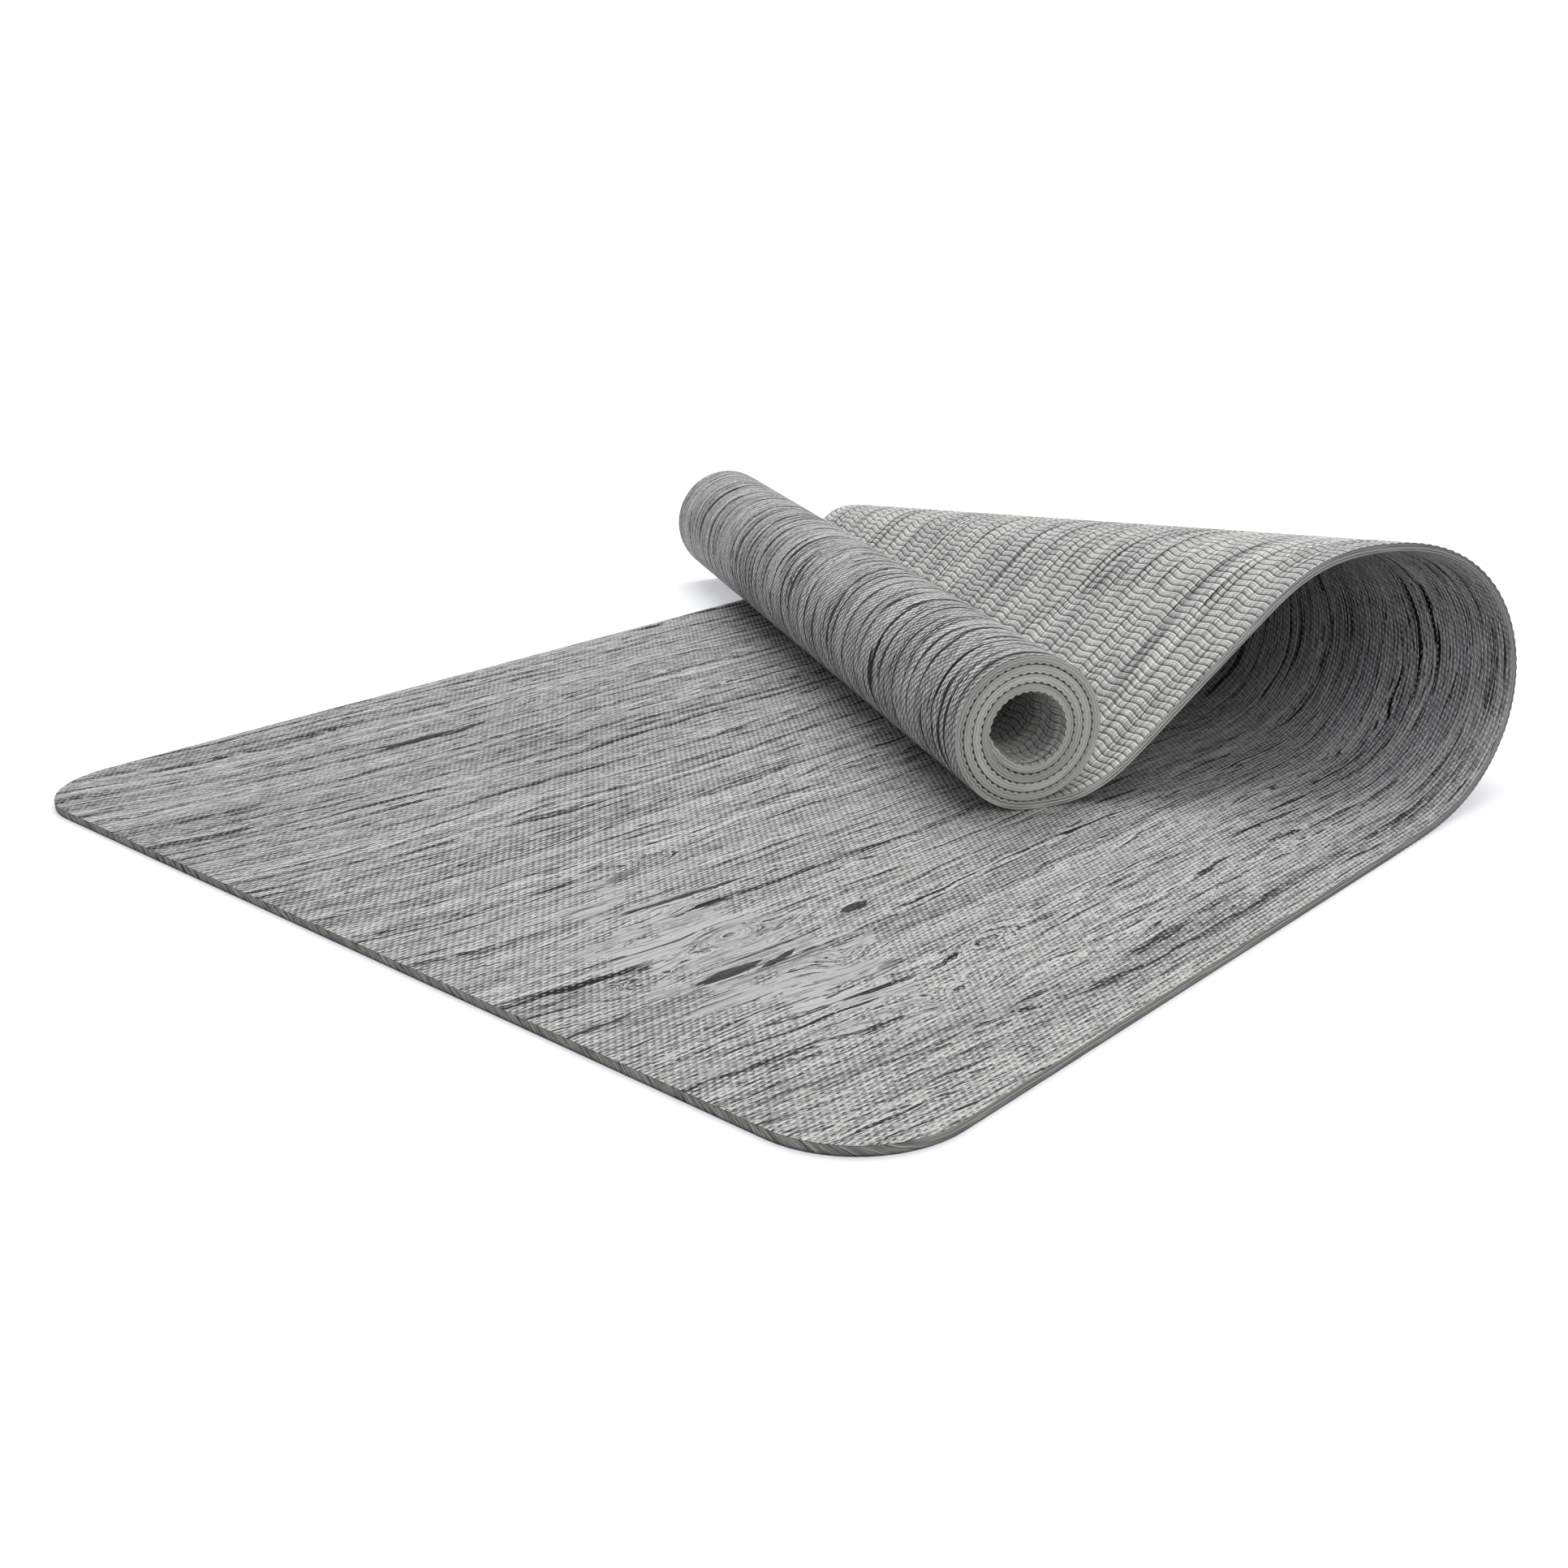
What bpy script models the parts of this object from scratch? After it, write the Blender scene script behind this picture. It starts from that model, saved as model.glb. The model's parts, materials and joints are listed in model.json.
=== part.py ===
"""A rubber yoga mat, half unrolled.

The front half lies flat. The sheet then rises, folds back over itself at a slant, tighter on the
far side than on the near side, comes down on the flat part and ends in a roll that lies on it.

The mat is one sheet of rubber. Between the flat bed and the roll it bends along straight lines
across it, so it's divided there into strips, each hinged to the one before it. Turning every hinge
by its own share of the bend lays the fold out flat.

Places on the sheet are stations: lengths along the mat from its front edge. The near and the far
long edge have stations of their own, because the lines of the bend aren't square to the mat.
Units are metres and +Z is up. The sheet is laid out along +X, and the finished mat is then turned
on the floor until its roll lies along +Y.
"""

import math

import bmesh
import bpy
import numpy as np
from mathutils import Matrix

# The sheet, laid out flat
MAT_WIDTH = 0.610
MAT_LENGTH = 1.730
MAT_THICKNESS = 0.0044
CORNER_RADIUS = 0.050
CORNER_STEPS = 8

# Where the bend starts on the two long edges, how long it is there, and how far its lines bow out
BEND_START_NEAR = 0.3893
BEND_LENGTH_NEAR = 0.5297
BEND_START_FAR = 0.6892
BEND_LENGTH_FAR = 0.1986
BEND_BOW_FAR = 0.0036

# The swells of the bend: middle and half width, as shares of the way from its start to its end
RISE_SHARES = (0.190, 0.190)
CREST_SHARES = (0.410, 0.230)
FALL_SHARES = (0.630, 0.095)
LANDING_SHARES = (0.945, 0.090)

# How far the rise bends the sheet, and about how far the others do before the fold is settled
RISE_ANGLE = math.radians(44.5)
CREST_ANGLE_GUESS = math.radians(141)
FALL_ANGLE_GUESS = math.radians(37)
LANDING_ANGLE_GUESS = math.radians(-45)

# The strips of the fold and of the landing. The last strip of the fold runs on into the landing
FOLD_STRIP_COUNT = 11
LANDING_STRIP_COUNT = 2
LINES_PER_STRIP = 6
SEAM_GAP = 0.0004
STACK_GAP = 0.0003

# The roll at the far end of the sheet
RUN_TO_ROLL = 0.0048
ROLL_BORE_RADIUS = 0.0167
ROLL_GAP = 0.00048
ROLL_POINTS_PER_TURN = 24

# Fine steps for sharing out the bend, and the search that settles the fold
SHARE_STEPS = 2000
SETTLING_ROUNDS = 12
NUDGE = 1e-5

# Rubber: colour and roughness
BED_RUBBER = ((0.40, 0.41, 0.43, 1.0), 0.85)
FOLD_RUBBER = ((0.46, 0.46, 0.46, 1.0), 0.85)
ROLL_RUBBER = ((0.43, 0.44, 0.45, 1.0), 0.85)

HALF_WIDTH = MAT_WIDTH / 2
HALF_THICKNESS = MAT_THICKNESS / 2
BEND_END_NEAR = BEND_START_NEAR + BEND_LENGTH_NEAR
BEND_END_FAR = BEND_START_FAR + BEND_LENGTH_FAR
ROLL_START = max(BEND_END_NEAR, BEND_END_FAR) + RUN_TO_ROLL
ROLL_PITCH = MAT_THICKNESS + ROLL_GAP
SWELL_SHARES = (RISE_SHARES, CREST_SHARES, FALL_SHARES, LANDING_SHARES)
GUESSED_TURNS = (RISE_ANGLE, CREST_ANGLE_GUESS, FALL_ANGLE_GUESS, LANDING_ANGLE_GUESS)


def stations_at(share):
    """Stations on the near and the far edge of the line this share of the way along the bend."""
    bow = 4 * BEND_BOW_FAR * share * (1 - share)
    return BEND_START_NEAR + BEND_LENGTH_NEAR * share, BEND_START_FAR + BEND_LENGTH_FAR * share + bow


def line_across(near, far, height=0):
    """The two ends of a line across the flat sheet, near edge first."""
    return np.array([(near, -HALF_WIDTH, height), (far, HALF_WIDTH, height)])


def swell(shares, middle, half_width):
    """A smooth hump with an area of one."""
    away = np.minimum(np.abs(shares - middle) / half_width, 1)
    return (1 + np.cos(np.pi * away)) / (2 * half_width)


def swelled(shares, middle, half_width):
    """How much of a swell's area lies before each of these shares."""
    away = np.clip((shares - middle) / half_width, -1, 1)
    return (1 + away + np.sin(np.pi * away) / np.pi) / 2


def even_shares(swells, strips):
    """Shares of the bend in even steps of its turn, two steps for each bend line of the strips."""
    fine = np.linspace(0, 1, SHARE_STEPS + 1)
    rate = abs(sum(turn * swell(fine, *place) for turn, place in swells))
    turned = np.concatenate([[0], np.cumsum((rate[1:] + rate[:-1]) / 2)])
    steps = np.linspace(0, turned[-1], 2 * strips * LINES_PER_STRIP + 1)
    return np.interp(steps, turned, fine)


def turns_between(swells, cuts):
    """How far the sheet turns between each cut and the next."""
    return np.diff(sum(turn * swelled(cuts, *place) for turn, place in swells))


class Fold:
    """The bend between the bed and the roll, for given turns of its four swells."""

    def __init__(self, turns):
        guessed = list(zip(GUESSED_TURNS, SWELL_SHARES))
        swells = list(zip(turns, SWELL_SHARES))
        fold = even_shares(guessed[:-1], FOLD_STRIP_COUNT)
        landing = even_shares(guessed[-1:], LANDING_STRIP_COUNT)
        self.line_shares = np.concatenate([fold[1::2], landing[1::2]])
        self.line_turns = np.concatenate([
            turns_between(swells[:-1], fold[::2]),
            turns_between(swells[-1:], landing[::2]),
        ])
        between_strips = slice(2 * LINES_PER_STRIP, -1, 2 * LINES_PER_STRIP)
        self.seam_shares = np.concatenate([[0], fold[between_strips], landing[between_strips], [1]])
        self.lines_before_seam = np.searchsorted(self.line_shares, self.seam_shares)
        self.frames = self.facet_frames()

    def facet_frames(self):
        """For each flat facet of the bend, the motion that carries the flat sheet to it."""
        frames = [shift_by((0, 0, HALF_THICKNESS))]
        for share, turn in zip(self.line_shares, self.line_turns):
            near, far = line_across(*stations_at(share))
            frames.append(frames[-1] @ turn_about(near, near - far, turn))
        return frames

    def strip_turn(self, strip):
        """How far the sheet turns within one strip."""
        first, last = self.lines_before_seam[strip : strip + 2]
        return self.line_turns[first:last].sum()

    def hinge_turns(self):
        """How far each hinge turns to lay the fold flat: half the turn of the strips beside it."""
        strips = [0, *(self.strip_turn(strip) for strip in range(len(self.seam_shares) - 1)), 0]
        return [(before + after) / 2 for before, after in zip(strips, strips[1:])]


def shift_by(offset):
    motion = np.eye(4)
    motion[:3, 3] = offset
    return motion


def turn_about(point, axis, angle):
    """The motion that turns space by this angle about the axis through the point."""
    x, y, z = axis / np.linalg.norm(axis)
    cross = np.array([(0, -z, y), (z, 0, -x), (-y, x, 0)])
    turn = np.eye(4)
    turn[:3, :3] += math.sin(angle) * cross + (1 - math.cos(angle)) * cross @ cross
    return shift_by(point) @ turn @ shift_by(-point)


def carried(motion, points):
    """The points after the motion."""
    return np.asarray(points) @ motion[:3, :3].T + motion[:3, 3]


def landing_error(turns):
    """How far the sheet past the bend is from lying face down and level on the bed."""
    last = Fold(turns).frames[-1]
    touchdown = carried(last, line_across(BEND_END_NEAR, BEND_END_FAR)[0])
    level = HALF_THICKNESS + MAT_THICKNESS + STACK_GAP
    return np.array([last[2, 0], last[2, 1], (touchdown[2] - level) / MAT_WIDTH])


def settled_fold():
    """The fold with its rise as given, and the crest, fall and landing that set it down on the bed."""
    free = np.array(GUESSED_TURNS[1:])
    for _ in range(SETTLING_ROUNDS):
        error = landing_error((RISE_ANGLE, *free))
        nudged = [landing_error((RISE_ANGLE, *(free + NUDGE * one))) for one in np.eye(3)]
        slopes = (np.array(nudged) - error).T / NUDGE
        free = free - np.linalg.solve(slopes, error)
    return Fold((RISE_ANGLE, *free))


def half_width_at(station):
    """Half the sheet's width here, drawn in by the round corners at its two ends."""
    into_corner = max(CORNER_RADIUS - min(station, MAT_LENGTH - station), 0)
    return HALF_WIDTH - CORNER_RADIUS + math.sqrt(max(CORNER_RADIUS**2 - into_corner**2, 0))


def square_line(station):
    """The ends of the line square across the sheet here, between its long edges or round corners."""
    line = line_across(station, station)
    line[:, 1] = -half_width_at(station), half_width_at(station)
    return line


def seam_line(share, side):
    """The edge of a piece at a seam, moved from the seam by half the gap to the piece's side."""
    near, far = stations_at(share)
    return line_across(near + side * SEAM_GAP / 2, far + side * SEAM_GAP / 2)


def corner_steps():
    """Lengths from the end of the sheet that go round its corners in even steps."""
    return CORNER_RADIUS * (1 - np.cos(np.linspace(0, math.pi / 2, CORNER_STEPS + 1)))


class Roll:
    """The rest of the sheet past ROLL_START, wound up from its bore in short straight steps."""

    def __init__(self):
        wound = MAT_LENGTH - ROLL_START
        core = ROLL_BORE_RADIUS + HALF_THICKNESS
        growth = ROLL_PITCH / math.tau
        full_angle = (math.sqrt(core**2 + 2 * growth * wound) - core) / growth
        start_radius = core + growth * full_angle
        step = math.tau / ROLL_POINTS_PER_TURN
        self.angles = step * np.arange(math.ceil(full_angle / step) + 1)
        self.step_stations = ROLL_START + start_radius * self.angles - growth * self.angles**2 / 2
        radii = start_radius - growth * self.angles
        self.along = ROLL_START + radii * np.sin(self.angles)
        self.height = radii * np.cos(self.angles) - start_radius

    def curled(self, point):
        """The place of a point of the flat sheet once it's rolled up towards the underside."""
        station, across, height = point
        if station <= ROLL_START:
            return np.array(point)
        along = np.interp(station, self.step_stations, self.along)
        return np.array([along, across, height + np.interp(station, self.step_stations, self.height)])

    def stations(self):
        """A station at every step round the roll, and those round the corners of the sheet's end."""
        corners = MAT_LENGTH - corner_steps()
        turning = self.step_stations[self.step_stations < MAT_LENGTH]
        apart = np.abs(turning[:, None] - corners).min(axis=1) > HALF_THICKNESS / 2
        return np.sort(np.concatenate([turning[apart | (turning < corners[-1])], corners]))

    def least_gap(self):
        """The least gap between neighbouring turns, measured on their points and mid spans."""
        line = np.column_stack([self.along, self.height])
        starts, runs = line[:-1], np.diff(line, axis=0)
        samples = np.concatenate([line, starts + runs / 2])
        angles = np.concatenate([self.angles, (self.angles[1:] + self.angles[:-1]) / 2])
        least = math.inf
        for sample, angle in zip(samples, angles):
            along = ((sample - starts) * runs).sum(axis=1) / (runs**2).sum(axis=1)
            nearest = starts + runs * np.clip(along, 0, 1)[:, None]
            other_turns = np.abs(self.angles[:-1] - angle) > math.pi
            least = min(least, np.linalg.norm(sample - nearest, axis=1)[other_turns].min())
        return least - MAT_THICKNESS


def rubber(name, colour, roughness):
    material = bpy.data.materials.new(name)
    material.use_nodes = True
    shader = material.node_tree.nodes["Principled BSDF"]
    shader.inputs["Base Color"].default_value = colour
    shader.inputs["Roughness"].default_value = roughness
    shader.inputs["Metallic"].default_value = 0
    return material


def sheet_piece(name, lines, pivot, material, collection):
    """A piece of the sheet through these bent lines across it, with its origin at the pivot."""
    last = len(lines) - 1
    to_local = np.linalg.inv(pivot)
    surface = bmesh.new()
    bmesh.ops.create_grid(surface, x_segments=last, y_segments=1, size=1)
    for vertex in surface.verts:
        index = round((vertex.co.x + 1) / 2 * last)
        vertex.co = carried(to_local, lines[index][int(vertex.co.y > 0)])
    mesh = bpy.data.meshes.new(name)
    surface.to_mesh(mesh)
    surface.free()
    mesh.materials.append(material)
    piece = bpy.data.objects.new(name, mesh)
    collection.objects.link(piece)
    thickness = piece.modifiers.new("thickness", "SOLIDIFY")
    thickness.thickness = MAT_THICKNESS
    thickness.offset = 0
    thickness.use_even_offset = True
    piece.matrix_world = Matrix(pivot)
    return piece


def hinge_pivot(fold, seam, turn):
    """The axes of a hinge, X along it, on the face of the sheet that closes up when it unfolds."""
    height = -HALF_THICKNESS if turn > 0 else HALF_THICKNESS
    frame = fold.frames[fold.lines_before_seam[seam]]
    near, far = carried(frame, line_across(*stations_at(fold.seam_shares[seam]), height))
    along = (far - near) / np.linalg.norm(far - near)
    face = frame[:3, 2]
    pivot = shift_by((near + far) / 2)
    pivot[:3, :3] = np.column_stack([along, np.cross(face, along), face])
    return pivot


def bed_lines(fold):
    """The flat part, from the rounded front edge to the first seam."""
    lines = [square_line(station) for station in corner_steps()] + [seam_line(0, -1)]
    return [carried(fold.frames[0], line) for line in lines]


def strip_lines(fold, strip):
    """One strip of the bend, with a line wherever it bends."""
    first, last = fold.lines_before_seam[strip : strip + 2]
    flat = [line_across(*stations_at(share)) for share in fold.line_shares[first:last]]
    flat = [seam_line(fold.seam_shares[strip], 1), *flat, seam_line(fold.seam_shares[strip + 1], -1)]
    return [carried(fold.frames[min(first + step, last)], line) for step, line in enumerate(flat)]


def roll_lines(fold, roll):
    """What lies past the last seam: a narrow flat stretch and the winding."""
    lines = [seam_line(1, 1), *(square_line(station) for station in roll.stations())]
    return [carried(fold.frames[-1], [roll.curled(point) for point in line]) for line in lines]


def build_mat(collection):
    fold = settled_fold()
    roll = Roll()
    print(f"Least gap between the turns of the roll: {roll.least_gap() * 1000:.2f} mm")
    bed_rubber = rubber("bed_rubber", *BED_RUBBER)
    fold_rubber = rubber("fold_rubber", *FOLD_RUBBER)
    roll_rubber = rubber("roll_rubber", *ROLL_RUBBER)
    pieces = [sheet_piece("bed", bed_lines(fold), np.eye(4), bed_rubber, collection)]
    for seam, turn in enumerate(fold.hinge_turns()):
        pivot = hinge_pivot(fold, seam, turn)
        if seam < len(fold.seam_shares) - 1:
            name, lines, material = f"bend_strip_{seam + 1:02d}", strip_lines(fold, seam), fold_rubber
        else:
            name, lines, material = "roll", roll_lines(fold, roll), roll_rubber
        pieces.append(sheet_piece(name, lines, pivot, material, collection))
    for parent, child in zip(pieces, pieces[1:]):
        pivot = child.matrix_world.copy()
        child.parent = parent
        child.matrix_parent_inverse = parent.matrix_world.inverted()
        child.matrix_basis = pivot
    across_roll = fold.frames[-1][:3, 1]
    pieces[0].rotation_euler.z = math.atan2(across_roll[0], across_roll[1])
    return pieces


def stand_on_origin(pieces):
    """Moves the bed, and all that hangs on it, so that the middle of the footprint is at the origin."""
    bpy.context.view_layer.update()
    graph = bpy.context.evaluated_depsgraph_get()
    corners = []
    for piece in pieces:
        solid = piece.evaluated_get(graph)
        corners += [solid.matrix_world @ vertex.co for vertex in solid.data.vertices]
    corners = np.array(corners)
    middle = (corners.min(axis=0) + corners.max(axis=0)) / 2
    pieces[0].location = (-middle[0], -middle[1], -corners[:, 2].min())
    bpy.context.view_layer.update()


def main():
    for existing in list(bpy.data.objects):
        bpy.data.objects.remove(existing, do_unlink=True)
    collection = bpy.data.collections.new("yoga_mat")
    bpy.context.scene.collection.children.link(collection)
    stand_on_origin(build_mat(collection))


if __name__ == "__main__":
    main()
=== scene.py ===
"""The looks of a half unrolled yoga mat of marbled natural rubber.

The mat is one sheet. Its front half lies flat, then it rises, folds back over itself at a slant and
ends in a roll that lies on the flat part. The upper face has a grain of small bumps, the under face
has wavy ribs across the mat, and the marbling runs lengthwise through the whole thickness.

A place on the sheet is a station, the length along the mat from its front edge, and how far across
it lies from the centre line, both in metres. The sheet is cut where the solids are hinged, and each
hinge gets a piece that reaches from the middle of one strip to the middle of the next.
"""

from __future__ import annotations

import json
import logging
import math
from dataclasses import dataclass, field
from enum import Enum, IntEnum
from typing import Any, NamedTuple, Sequence, Union

import bmesh
import bpy
import numpy as np
from mathutils import Matrix, Vector

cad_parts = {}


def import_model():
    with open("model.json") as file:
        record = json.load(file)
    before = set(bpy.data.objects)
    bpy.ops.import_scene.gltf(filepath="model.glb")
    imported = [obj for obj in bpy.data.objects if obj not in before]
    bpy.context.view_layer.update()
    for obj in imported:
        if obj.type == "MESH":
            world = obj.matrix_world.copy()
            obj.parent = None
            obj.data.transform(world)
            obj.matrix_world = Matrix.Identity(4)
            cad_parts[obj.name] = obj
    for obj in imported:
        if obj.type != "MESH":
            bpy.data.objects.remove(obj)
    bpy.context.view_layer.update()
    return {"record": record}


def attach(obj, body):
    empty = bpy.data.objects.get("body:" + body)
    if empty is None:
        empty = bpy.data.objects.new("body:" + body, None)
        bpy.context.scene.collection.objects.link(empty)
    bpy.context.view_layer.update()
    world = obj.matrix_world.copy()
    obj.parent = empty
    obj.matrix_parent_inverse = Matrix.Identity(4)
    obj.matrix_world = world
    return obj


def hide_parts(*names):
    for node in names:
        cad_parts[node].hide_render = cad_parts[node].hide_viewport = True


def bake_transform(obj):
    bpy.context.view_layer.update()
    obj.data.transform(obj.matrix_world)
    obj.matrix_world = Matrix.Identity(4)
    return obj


LOG = logging.getLogger("yoga_mat")
SHEET_ATTRIBUTE = "sheet"
MM = 1000.0
SHARP_ANGLE = math.radians(50)
CUT_TOLERANCE = 1e-6

Colour = tuple[float, float, float, float]


class Side(IntEnum):
    """The faces of the sheet, in the order of a piece's material slots."""

    UPPER = 0
    UNDER = 1
    CUT = 2


class MixSocket(IntEnum):
    """Where a node that mixes colours has its three inputs and its output."""

    FACTOR = 0
    UNDER = 6
    OVER = 7
    MIXED = 2


class Hold(Enum):
    """How a piece of the sheet is held."""

    LAID = "laid"
    FOLDED = "folded"


@dataclass(frozen=True)
class SheetSizes:
    """The sheet laid out flat, and the steps of the meshes that are made of it."""

    width: float = 0.610
    length: float = 1.730
    thickness: float = 0.0044
    corner_radius: float = 0.050
    upper_rise: float = 0.00010
    step_along: float = 0.000565
    step_across: float = 0.0026
    corner_steps: int = 14

    @property
    def half_width(self) -> float:
        """Half the width of the sheet."""
        return self.width / 2

    @property
    def half_thickness(self) -> float:
        """Half the thickness of the sheet."""
        return self.thickness / 2

    def half_width_at(self, station: np.ndarray) -> np.ndarray:
        """Half the width at these stations, drawn in by the round corners.

        Args:
            station: Lengths along the mat from its front edge.

        Returns:
            Half the width at each of them.
        """
        into = np.maximum(self.corner_radius - np.minimum(station, self.length - station), 0)
        arc = np.sqrt(np.maximum(self.corner_radius**2 - into**2, 0))
        return self.half_width - self.corner_radius + arc

    def lines_across(self, step: float) -> np.ndarray:
        """Where long lines about this step apart lie across the mat."""
        return np.linspace(-self.half_width, self.half_width, round(self.width / step) + 1)


@dataclass(frozen=True)
class Swell:
    """One bend of the fold: how far it turns the sheet, and where, as shares of the whole bend."""

    turn: float
    middle: float
    reach: float

    def rate(self, shares: np.ndarray) -> np.ndarray:
        """How fast the sheet turns at these shares."""
        away = np.minimum(np.abs(shares - self.middle) / self.reach, 1)
        return self.turn * (1 + np.cos(np.pi * away)) / (2 * self.reach)

    def turned(self, shares: np.ndarray) -> np.ndarray:
        """How far the sheet has turned before these shares."""
        away = np.clip((shares - self.middle) / self.reach, -1, 1)
        return self.turn * (1 + away + np.sin(np.pi * away) / np.pi) / 2


@dataclass(frozen=True)
class BendSizes:
    """Where the fold starts and ends on the two long edges, and its bends.

    The bed's piece ends a little before the fold, at the bend line bed_end.
    """

    start_near: float = 0.3893
    length_near: float = 0.5297
    start_far: float = 0.6892
    length_far: float = 0.1986
    bow_far: float = 0.0036
    rise: Swell = Swell(math.radians(44.5), 0.190, 0.190)
    crest: Swell = Swell(math.radians(141), 0.410, 0.230)
    fall: Swell = Swell(math.radians(37), 0.630, 0.095)
    landing: Swell = Swell(math.radians(-45), 0.945, 0.090)
    fold_strips: int = 11
    landing_strips: int = 2
    lines_per_strip: int = 48
    share_steps: int = 2000
    stack_gap: float = 0.0003
    run_to_roll: float = 0.0048
    bed_end: float = -0.075
    settling_rounds: int = 8
    settling_nudge: float = 1e-5

    @property
    def roll_start(self) -> float:
        """The station where the sheet starts to roll up."""
        return max(self.start_near + self.length_near, self.start_far + self.length_far) + self.run_to_roll

    def stations(self, share: Any) -> tuple[Any, Any]:
        """Stations on the near and the far edge of the line this share of the way along the bend."""
        bow = 4 * self.bow_far * share * (1 - share)
        return self.start_near + self.length_near * share, self.start_far + self.length_far * share + bow


def shift_by(offset: Sequence[float]) -> np.ndarray:
    """The motion that shifts space by this offset."""
    motion = np.eye(4)
    motion[:3, 3] = offset
    return motion


def turn_about(point: np.ndarray, axis: np.ndarray, angle: float) -> np.ndarray:
    """The motion that turns space by this angle about the axis through the point.

    Args:
        point: A point on the axis.
        axis: The direction of the axis.
        angle: The turn, in radians.

    Returns:
        The motion as a matrix of four rows.
    """
    x, y, z = axis / np.linalg.norm(axis)
    cross = np.array([(0, -z, y), (z, 0, -x), (-y, x, 0)])
    turn = np.eye(4)
    turn[:3, :3] += math.sin(angle) * cross + (1 - math.cos(angle)) * cross @ cross
    return shift_by(point) @ turn @ shift_by(-point)


class Fold:
    """The bend between the bed and the roll, as many narrow flat facets.

    Args:
        sizes: The sheet.
        bends: The bend.
        turns: How far the four swells turn the sheet.
    """

    def __init__(self, sizes: SheetSizes, bends: BendSizes, turns: Sequence[float]) -> None:
        self.sizes = sizes
        self.bends = bends
        guessed = (bends.rise, bends.crest, bends.fall, bends.landing)
        swells = [Swell(turn, swell.middle, swell.reach) for turn, swell in zip(turns, guessed)]
        fold = self.even_shares(guessed[:-1], bends.fold_strips)
        landing = self.even_shares(guessed[-1:], bends.landing_strips)
        self.line_shares = np.concatenate([fold[1::2], landing[1::2]])
        fold_turns = np.diff(sum(swell.turned(fold[::2]) for swell in swells[:-1]))
        self.line_turns = np.concatenate([fold_turns, np.diff(swells[-1].turned(landing[::2]))])
        inner = slice(2 * bends.lines_per_strip, -1, 2 * bends.lines_per_strip)
        self.seam_shares = np.concatenate([[0], fold[inner], landing[inner], [1]])
        self.frames = self.facet_frames()

    def even_shares(self, swells: Sequence[Swell], strips: int) -> np.ndarray:
        """Shares of the bend in even steps of its turn, two steps for each of its lines.

        Args:
            swells: The bends that turn the sheet.
            strips: How many strips they are divided into.

        Returns:
            The shares.
        """
        fine = np.linspace(0, 1, self.bends.share_steps + 1)
        rate = abs(sum(swell.rate(fine) for swell in swells))
        turned = np.concatenate([[0], np.cumsum((rate[1:] + rate[:-1]) / 2)])
        steps = np.linspace(0, turned[-1], 2 * strips * self.bends.lines_per_strip + 1)
        return np.interp(steps, turned, fine)

    def line(self, share: float) -> np.ndarray:
        """The two ends of a bend line on the flat sheet, near edge first."""
        near, far = self.bends.stations(share)
        return np.array([(near, -self.sizes.half_width, 0), (far, self.sizes.half_width, 0)])

    def facet_frames(self) -> np.ndarray:
        """For each flat facet of the bend, the motion that carries the flat sheet to it."""
        frames = [shift_by((0, 0, self.sizes.half_thickness))]
        for share, turn in zip(self.line_shares, self.line_turns):
            near, far = self.line(share)
            frames.append(frames[-1] @ turn_about(near, near - far, turn))
        return np.array(frames)

    def landing_error(self) -> np.ndarray:
        """How far the sheet past the bend is from lying face down and level on the bed."""
        last = self.frames[-1]
        touchdown = last[:3, :3] @ self.line(1)[0] + last[:3, 3]
        level = self.sizes.half_thickness + self.sizes.thickness + self.bends.stack_gap
        return np.array([last[2, 0], last[2, 1], (touchdown[2] - level) / self.sizes.width])

    def share_at(self, station: np.ndarray, across: np.ndarray) -> np.ndarray:
        """The share of the bend at these places on the sheet, under 0 before it and over 1 past it.

        Args:
            station: Lengths along the mat.
            across: Distances from the centre line.

        Returns:
            The shares, each of the bend line through the place.
        """
        bends = self.bends
        far = across / self.sizes.width + 0.5
        square = -4 * bends.bow_far * far
        slope = bends.length_near * (1 - far) + (bends.length_far + 4 * bends.bow_far) * far
        start = bends.start_near * (1 - far) + bends.start_far * far - station
        root = np.sqrt(np.maximum(slope**2 - 4 * square * start, 0))
        return -2 * start / (slope + root)

    @classmethod
    def settled(cls, sizes: SheetSizes, bends: BendSizes) -> Fold:
        """The fold whose crest, fall and landing set the sheet down on the bed.

        Args:
            sizes: The sheet.
            bends: The bend, with the turns that the search starts from.

        Returns:
            The settled fold.
        """

        def fold_with(free: np.ndarray) -> Fold:
            """The fold with these three turns."""
            return cls(sizes, bends, (bends.rise.turn, *free))

        nudge = bends.settling_nudge
        free = np.array([bends.crest.turn, bends.fall.turn, bends.landing.turn])
        for _ in range(bends.settling_rounds):
            error = fold_with(free).landing_error()
            nudged = [fold_with(free + nudge * one).landing_error() for one in np.eye(3)]
            free = free - np.linalg.solve((np.array(nudged) - error).T / nudge, error)
        return fold_with(free)


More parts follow.
